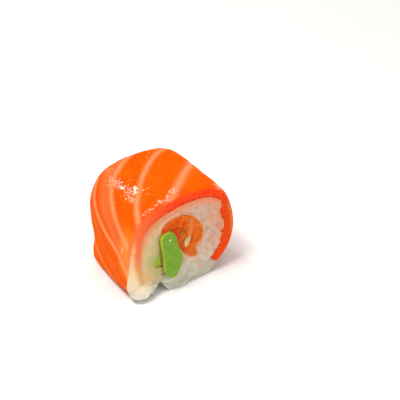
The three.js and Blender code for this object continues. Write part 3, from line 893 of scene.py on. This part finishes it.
riceFinish = {
    "flatten": 0.62, "flattenDepth": 2.6,  # the knife has pressed the grains into the cut
    "fineRelief": 0.13, "fineSize": 1.3,
    "smear": 0.9, "smoothSink": 0.1, "smoothRelief": 0.25, "smoothSize": 4.0,  # and smeared some of them
    "tuck": 0.9,  # how far behind the cut the rice stays under the slice
    # limits between which things fade, in mm
    "limits": {
        "lumpX": (-13.0, -9.5), "lumpZ": (7.0, 10.0), "lumpTopZ": (4.6, 7.4), "frontY": (-13.0, -9.0),
        "smearX": (-9.0, -5.0), "smearFromZ": (5.5, 9.0), "smearToZ": (23.0, 31.0), "smearDepth": (1.2, 2.6),
        "insideSlice": (-3.2, -0.6), "insideX": (4.0, 10.0), "sliceGap": (0.0, 0.35), "foldGap": (0.35, 1.1),
        "fineZ": (0.5, 1.2), "oilyX": (-9.0, -4.0), "oilyZ": (4.5, 8.0), "pinkZ": (-1.0, 17.0),
        "greenToZ": (20.0, 27.0), "stainZ": (11.0, 19.0), "stainWideZ": (17.0, 29.0),
        "stainThinX": (-2.0, 6.0), "shadeX": (-6.4, -4.6), "shadeZ": (22.0, 25.0),
        "creviceShade": (0.25, 1.1), "lowShadeZ": (2.0, 13.0),
    },
    "insideFromZ": 9.0, "nearCut": 13.5, "creviceShadeFrom": 13.0,
    "edgeStart": 0.05,  # share of the slice, past its thin end
    "pinkBySlice": 3.0, "pinkByFold": 1.6, "pinkLeast": 0.60, "pinkOily": 0.6,
    "greenWidth": 0.9, "greenWiden": 2.3, "greenHigh": 0.8, "greenLeast": 0.45,
    "stainWidth": 0.8, "stainWiden": 2.2, "stainThin": 0.45, "foldStain": 0.9, "shadeWidth": 0.75,
    "stainRight": 0.75, "stainRightShares": (0.58, 0.66),  # weaker from there on
}


def rising(name, value):
    return fadeIn(*riceFinish["limits"][name], value)


def falling(name, value):
    return 1 - rising(name, value)


# Where each point of the rice lies
points = pointsOf(rice)
flat = points[:, [0, 2]]
x, y, z = points.T
onLump = falling("lumpX", x) * falling("lumpZ", z)
fromFold, fromAvocado, fromOffcut = (awayFromFilling(name, flat) for name in ("fold", "avocado", "offcut"))
pastSlice, alongSlice = pastEdge(flat, *sliceEdge(riceFinish["edgeStart"], 1.0))
alongSlice = (riceFinish["edgeStart"] + (1 - riceFinish["edgeStart"]) * alongSlice) * salmonSlice["rightEnd"]


def pressCuts():  # the knife has flattened the grains, and smeared some into a smooth face
    behind = halfLength - np.abs(points[:, 1])
    flatten = riceFinish["flatten"]
    pressed = flatten + (1 - flatten) * fadeIn(0, riceFinish["flattenDepth"], behind)
    pressed += (1 - pressed) * onLump
    points[:, 1] = np.sign(points[:, 1]) * (halfLength - behind * pressed)
    span = riceBed["overEdgeSpan"]
    covered = fadeIn(*span[:2], alongSlice) * fadeOut(*span[2:], alongSlice)  # where grains lie on the slice
    under = rising("sliceGap", pastSlice) * (1 - covered) * (y < 0) * (1 - onLump)
    leftOfAvocado = falling("smearX", x) * rising("smearFromZ", z) * falling("smearToZ", z)
    alongInside = rising("insideSlice", pastSlice) * (z > riceFinish["insideFromZ"]) * falling("insideX", x)
    smear = np.maximum(leftOfAvocado, alongInside) * falling("smearDepth", y + halfLength)
    besideFold = falling("foldGap", fromFold)  # no gap round the fold
    smear = np.maximum(smear, riceFinish["smear"] * besideFold * (y < -riceFinish["nearCut"]))
    waves = riceFinish["smoothRelief"] * noiseAt(points * (1, 0, 1), riceFinish["smoothSize"], 21)
    smooth = -halfLength + (riceFinish["smoothSink"] + waves) * (1 - besideFold)
    points[:, 1] += smear * riceFinish["smear"] * (smooth - y)
    points[:, 1] = np.where(under > 0, np.maximum(y, -halfLength - 1 + (1 + riceFinish["tuck"]) * under), y)
    points[:, 2] = np.maximum(z, 0)


def unevenGrains():
    movePoints(rice, points)
    normals = pointsOf(rice, "normal")
    lift = riceFinish["fineRelief"] * noiseAt(points, riceFinish["fineSize"], 31)
    lift *= (np.abs(y) > riceFinish["nearCut"]) * rising("fineZ", z)
    points[:] += normals * lift[:, None]
    movePoints(rice, points)


def grainTones():  # each grain has a tone of its own
    tree = KDTree(sum(len(grain) for grain in grains))
    owner = [k for k, grain in enumerate(grains) for _ in grain]
    for n, spot in enumerate(np.concatenate(grains)):
        tree.insert(spot, n)
    tree.balance()
    tones = np.random.default_rng(riceBed["seed"]).random(len(grains))
    return np.array([tones[owner[tree.find(p)[1]]] for p in points])


def paintRice():
    onFront, oily = falling("frontY", y), falling("oilyX", x)
    marks = {name: strength * near(distanceToPath(flat, np.array(path)), width) * onFront
             for name, (path, width, strength) in riceBed["marks"].items()}
    # pinker near the slice, the fold and higher up: partly stained by the salmon, partly painted orange light
    # bounced off it
    nearSlice = np.exp(-distanceToPath(flat, sliceEdge(0.30, 0.95)[0]) / riceFinish["pinkBySlice"])
    nearSlice = riceFinish["pinkLeast"] + (1 - riceFinish["pinkLeast"]) * nearSlice
    pink = np.maximum(rising("pinkZ", z) * nearSlice, np.exp(-fromFold / riceFinish["pinkByFold"]))
    greenWidth = riceFinish["greenWidth"] + riceFinish["greenWiden"] * oily
    green = near(np.minimum(fromAvocado, fromOffcut), greenWidth)
    green = np.maximum(green * (1 - riceFinish["greenHigh"] * rising("greenToZ", z)), marks["avocadoSmear"])
    widen = riceFinish["stainWiden"] * rising("stainWideZ", z)
    widen *= 1 - riceFinish["stainThin"] * rising("stainThinX", x)
    stain = near(np.minimum(pastSlice, 0), riceFinish["stainWidth"] + widen) * rising("stainZ", z)
    stain *= 1 - riceFinish["stainRight"] * fadeIn(*riceFinish["stainRightShares"], alongSlice)
    stain = np.maximum(stain, riceFinish["foldStain"] * near(fromFold, riceFinish["stainWidth"]))
    leftOfAvocado = falling("shadeX", x) * falling("shadeZ", z)
    masks = {
        "tone": grainTones(),
        "pink": pink * (1 - riceFinish["pinkOily"] * oily * onFront),
        "green": green * (riceFinish["greenLeast"] + (1 - riceFinish["greenLeast"]) * oily),
        # painted shade: darker and pinker in the crevices between grains, behind the cut faces
        "creviceShade": rising("creviceShade", halfLength - np.abs(y)) * (np.abs(y) > riceFinish["creviceShadeFrom"]),
        "lump": onLump,
        # painted shade: the rice greyer towards the bottom
        "low": falling("lowShadeZ", z) * (1 - onLump),
        "oily": oily * onFront * rising("oilyZ", z),
        "stain": stain * onFront,
        "drip": marks["drip"],
        "shade": near(fromAvocado, riceFinish["shadeWidth"]) * leftOfAvocado * onFront,
        "brown": marks["brown"],
        "lumpTop": onLump * rising("lumpTopZ", z),
    }
    for name, values in masks.items():
        setMask(rice, name, values)


def cookedRice():
    tones = riceBed["tones"]
    s = Shader("CookedRice")
    milky = s.grainOf(1.8, 3, 0.55)
    white = s.mottle(*tones["white"], milky, 0.35, 0.65)
    # painted light: the lump at the lower left lighter than the rest of the rice
    white = s.tint(white, "lump", tones["lump"])
    white = s.mottle(white, tones["dull"], s.mask("tone"), 0.3, 1.0, 0.35)
    pink = s.mottle(*tones["pink"], s.mask("tone"), 0.1, 0.9)
    pink = s.mottle(pink, tones["pinkPale"], s.grainOf(3.5, 2, 0.5), 0.4, 0.65, 0.6)
    pink = s.mottle(pink, tones["pinkTan"], s.grainOf(1.5, 3, 0.6), 0.52, 0.68, 0.6)
    oil = s.mottle(*tones["oil"], s.grainOf(1.5, 3, 0.6), 0.40, 0.60)
    below = (("pink", pink, 0.95), ("creviceShade", tones["creviceShade"], 0.3), ("oily", oil, 0.9))
    for name, tone, strength in below + riceBed["tints"]:
        white = s.tint(white, name, tone, strength)
    white = s.mottle(white, tones["speck"], s.grainOf(1.0, 4, 0.65), 0.35, 0.65, 0.16)
    white = s.tint(white, "drip", tones["drip"])
    return s.finished(white, s.bump(s.grainOf(0.7, 3, 0.6), 0.05), s.remap(milky, 0.3, 0.7, 0.36, 0.52),
                      specular=0.3, subsurface=(0.7, 0.0006, (1.0, 0.75, 0.55)), coat=(0.05, 0.15))


pressCuts()
unevenGrains()
paintRice()
surfaces["rice"] = surfaceOf(rice)
finishPiece(rice, "Rice", cookedRice(), "rice", "rice")


# Crumbs on the front cut

crumbs = {
    "seed": 5, "voxel": 0.09, "soft": 3, "uneven": 0.28, "unevenSize": 0.8,
    # each crumb: the piece that it lies on, X, Z, length, width and thickness in mm
    "salmon": {
        "name": "SalmonCrumbs", "slot": "salmon_cut", "tones": ((0.80, 0.42, 0.22), (0.78, 0.32, 0.13)),
        "crumbs": (("rice", 8.7, 5.9, 2.1, 1.1, 0.4), ("rice", 6.4, 9.0, 0.9, 0.6, 0.3),
                   ("rice", 12.2, 9.9, 0.8, 0.6, 0.3))},
    "avocado": {
        "name": "AvocadoCrumbs", "slot": "avocado", "tones": ((0.46, 0.18, 0.012), (0.36, 0.22, 0.02)),
        "crumbs": (("strip", 1.5, 23.2, 1.6, 1.4, 0.5),)},
}
draw = random.Random(crumbs["seed"])


def onFrontCut(piece, x, z):  # the place on that piece seen from the front, and the way out of it
    found, normal, _, _ = surfaces[piece].ray_cast(Vector((x, -roll["length"], z)), Vector((0, 1, 0)))
    return found, normal


def crumbMesh(kind):
    ball, ballFaces = ballTemplate(8, 10)
    points, faces = [], []
    for piece, x, z, length, width, thickness in kind["crumbs"]:
        spot, out = onFrontCut(piece, x, z)
        turn = out.to_track_quat("Z", "X").to_matrix() @ Matrix.Rotation(draw.uniform(0, math.pi), 3, "Z")
        uneven = crumbs["uneven"] * noiseAt(ball, crumbs["unevenSize"], draw.random() * 9)
        shape = ball * (1 + uneven)[:, None] * (length / 2, width / 2, thickness / 2) @ np.array(turn).T
        faces += [tuple(len(points) + k for k in face) for face in ballFaces]
        points += (shape + np.array(spot + out * thickness * 0.15)).tolist()
    return remesh(meshObject(kind["name"], points, faces), crumbs["voxel"], crumbs["soft"])


def crumbFlesh(kind):
    s = Shader(kind["name"] + "Flesh")
    return s.finished(s.mottle(*kind["tones"], s.grainOf(0.7), 0.35, 0.65), s.bump(s.grainOf(0.3), 0.03),
                      roughness=0.4, specular=0.2, subsurface=(0.4, 0.0005))


for kind in (crumbs["salmon"], crumbs["avocado"]):
    finishPiece(crumbMesh(kind), kind["name"], crumbFlesh(kind), kind["slot"])


# Beads of moisture

moisture = {
    "seed": 3,
    "width": (0.32, 0.56), "height": 0.16, "sunk": 0.03, "tilt": 7.0, "apart": 0.50, "closeTogether": 0.30,
    "rings": ((1.0, 0.0), (0.8, 0.45), (0.45, 0.85)), "sides": 9,  # share of the radius and of the height
    # each patch on the slice: share of the outline, Y, spread in mm, number of beads, paleness, a painted
    # highlight
    "patches": (
        (0.355, 1.1, 0.40, 11, 1.0), (0.380, -2.2, 0.33, 9, 1.0), (0.372, -3.4, 0.33, 9, 1.0),
        (0.345, 7.0, 1.1, 16, 0.55), (0.352, 4.6, 0.8, 16, 0.75), (0.354, 2.6, 0.7, 13, 0.8),
        (0.360, -1.2, 0.8, 17, 0.75), (0.350, -3.6, 0.7, 13, 0.75), (0.346, -5.0, 0.6, 8, 0.6),
        (0.390, -5.4, 0.8, 6, 0.55), (0.362, 11.4, 1.2, 7, 0.4), (0.354, 0.0, 2.4, 16, 0.35),
        (0.350, -9.0, 2.2, 6, 0.2), (0.344, -13.9, 0.6, 5, 0.5), (0.359, -13.9, 0.6, 6, 0.5),
        (0.371, -14.1, 0.6, 6, 0.5), (0.386, -13.6, 0.6, 5, 0.5), (0.399, -12.7, 0.4, 6, 0.8),
        (0.406, -13.9, 0.4, 7, 0.8), (0.420, -13.6, 0.7, 5, 0.5), (0.431, -12.0, 0.5, 5, 0.7),
        (0.447, -11.6, 0.7, 9, 0.75), (0.458, -10.2, 0.6, 7, 0.7), (0.213, -10.0, 0.4, 4, 0.7),
        (0.588, -12.6, 0.9, 8, 0.6), (0.600, 6.0, 2.2, 12, 0.25), (0.645, -2.0, 1.8, 8, 0.25),
        (0.480, 12.0, 1.8, 6, 0.3), (0.740, 8.0, 1.6, 6, 0.2), (0.520, 14.2, 1.2, 5, 0.3),
    ),
    # each drop on the front cut: the piece, X, Z, how many times a bead's width, paleness, a painted
    # highlight
    "drops": (("avocado", -4.6, 23.9, 1.35, 0.9), ("rice", 5.4, 11.0, 1.5, 0.9),
              ("rice", 4.9, 10.4, 0.9, 0.6), ("rice", -2.6, 33.9, 1.2, 0.5),
              ("rice", -3.4, 33.2, 0.9, 0.4), ("strip", 7.6, 24.6, 0.8, 0.3)),
    "tones": ((0.97, 0.28, 0.08), (1.0, 0.92, 0.78)),  # clear over the salmon, and a painted highlight: near white where a bead is pale
}
draw = random.Random(moisture["seed"])
beadPoints, beadFaces, beadGlint, taken = [], [], [], []


def beadShape(spot, out, pale, size):  # a low dome, a little longer than wide
    rings, sides = moisture["rings"], moisture["sides"]
    radius = draw.uniform(*moisture["width"]) / 2 * (1 + 0.7 * pale * pale * draw.random()) * size
    turn = Vector(out).to_track_quat("Z", "X").to_matrix()
    lean = Matrix.Rotation(math.radians(draw.gauss(0, moisture["tilt"])), 3, "X")
    lean = lean @ Matrix.Rotation(math.radians(draw.gauss(0, moisture["tilt"])), 3, "Y")
    stretch, spin = draw.uniform(0.7, 1.0), draw.uniform(0, math.pi)
    points = []
    for share, rise in rings + ((0.0, 1.0),):
        for k in range(sides if share else 1):
            angle = 2 * math.pi * k / sides
            x, y = share * radius * math.cos(angle), share * radius * stretch * math.sin(angle)
            x, y = x * math.cos(spin) - y * math.sin(spin), x * math.sin(spin) + y * math.cos(spin)
            z = (rise * moisture["height"] - moisture["sunk"]) * radius * 4
            points.append(spot + turn @ (lean @ Vector((x, y, z))))
    faces = ringFaces(3, sides)
    faces += [(2 * sides + k, 2 * sides + (k + 1) % sides, 3 * sides) for k in range(sides)]
    faces.append(tuple(reversed(range(sides))))
    return points, faces


def addBead(spot, out, pale, size=1.0):
    taken.append(spot)
    points, faces = beadShape(spot, out, pale, size)
    beadFaces.extend(tuple(len(beadPoints) + k for k in face) for face in faces)
    beadPoints.extend(tuple(point) for point in points)
    beadGlint.extend([min(1, pale * draw.uniform(0.7, 1.25))] * len(points))


def wetPatch(share, y, spread, count, pale):
    apart = moisture["closeTogether" if pale > 0.8 else "apart"]
    for _ in range(count * 3):
        if count == 0:
            break
        along, across = y + draw.gauss(0, spread), share + draw.gauss(0, spread) / roll["girth"]
        along = min(max(along, -halfLength), halfLength)
        (x, z), (outX, outZ) = (pair[0] for pair in alongLoop(bodyOutline(along), [across]))
        found, normal, _, _ = surfaces["wrap"].find_nearest(Vector((x + outX * 3, along, z + outZ * 3)))
        if found is None or any((found - other).length < apart for other in taken):
            continue
        count -= 1
        addBead(found, normal, pale)


def moistureClear():
    s = Shader("Moisture")
    clear, glint = moisture["tones"]
    return s.finished(s.tint(clear, "pale", glint), s.bump(s.grainOf(0.3, 2, 0.5), 0.01),
                      roughness=0.12, specular=0.5, coat=(0.4, 0.05))


for patch in moisture["patches"]:
    wetPatch(*patch)
for piece, x, z, size, pale in moisture["drops"]:
    found, normal = onFrontCut(piece, x, z)
    if found is not None:
        addBead(found, normal, pale, size)
beads = meshObject("MoistureBeads", beadPoints, beadFaces)
# paleness paints the beads near white: a painted highlight
setMask(beads, "pale", np.array(beadGlint))
finishPiece(beads, "MoistureBeads", moistureClear(), "salmon")
print(f"{len(taken)} beads of moisture")


# Floor, light and camera, in the frame's metres

setting = {
    "floorReach": 2.0, "floorDrop": 0.00002,
    "floorTones": ((0.86, 0.86, 0.85), (0.88, 0.88, 0.87)),
    "sky": (1.0, 0.99, 0.97), "skyStrength": 0.42,
    # each lamp: way to it, distance, size, watts and colour
    "lamps": {
        "KeyLight": ((-0.38, -0.10, 0.92), 0.70, 0.24, 3.0, (1.0, 0.98, 0.95)),
        "TopLight": ((0.05, -0.25, 0.97), 0.75, 0.30, 0.9, (1.0, 0.99, 0.97)),
        "FillLight": ((0.30, -0.85, 0.42), 0.90, 0.60, 1.8, (0.98, 0.99, 1.0)),
        "GlintLight": ((-0.20, 0.66, 0.72), 0.60, 0.02, 0.7, (1.0, 1.0, 1.0)),
        "SparkLight": ((-0.40, 0.06, 0.91), 0.60, 0.02, 0.3, (1.0, 1.0, 1.0)),
    },
    "aim": (-0.00156, -0.0001, 0.018),
    "azimuth": -33.0, "elevation": 36.0, "distance": 0.600, "lens": 153.8,
    "target": (0.01080, -0.00886, 0.0298),
}


def layFloor():
    floor = meshObject("Floor", [(-1, -1, 0), (1, -1, 0), (1, 1, 0), (-1, 1, 0)], [(0, 1, 2, 3)])
    floor.scale = (setting["floorReach"], setting["floorReach"], 1)
    floor.location.z = -setting["floorDrop"]
    s = Shader("FloorPaint")
    paint = s.mottle(*setting["floorTones"], s.grainOf(40.0), 0.3, 0.7)
    floor.data.materials.append(s.finished(paint, None, roughness=0.7, specular=0.2))


def hangLamps():
    world = bpy.data.worlds.new("Studio")
    scene.world = world
    world.use_nodes = True
    sky = world.node_tree.nodes["Background"]
    sky.inputs["Color"].default_value = (*setting["sky"], 1)
    sky.inputs["Strength"].default_value = setting["skyStrength"]
    for name, (way, distance, size, watts, colour) in setting["lamps"].items():
        light = bpy.data.lights.new(name, "AREA")
        light.shape = "DISK"
        light.size, light.energy, light.color = size, watts, colour
        lamp = bpy.data.objects.new(name, light)
        scene.collection.objects.link(lamp)
        way = Vector(way).normalized()
        lamp.location = Vector(setting["aim"]) + way * distance
        lamp.rotation_euler = way.to_track_quat("Z", "Y").to_euler()


def placeCamera():
    camera = bpy.data.objects.new("Camera", bpy.data.cameras.new("Camera"))
    scene.collection.objects.link(camera)
    azimuth, elevation = math.radians(setting["azimuth"]), math.radians(setting["elevation"])
    level = math.cos(elevation)
    back = Vector((math.sin(azimuth) * level, -math.cos(azimuth) * level, math.sin(elevation)))
    camera.location = Vector(setting["target"]) + back * setting["distance"]
    camera.rotation_euler = back.to_track_quat("Z", "Y").to_euler()
    camera.data.lens, camera.data.sensor_width = setting["lens"], 36.0
    camera.data.clip_start, camera.data.clip_end = 0.01, 20.0
    scene.camera = camera


layFloor()
hangLamps()
placeCamera()
print("floor, lamps and camera set")
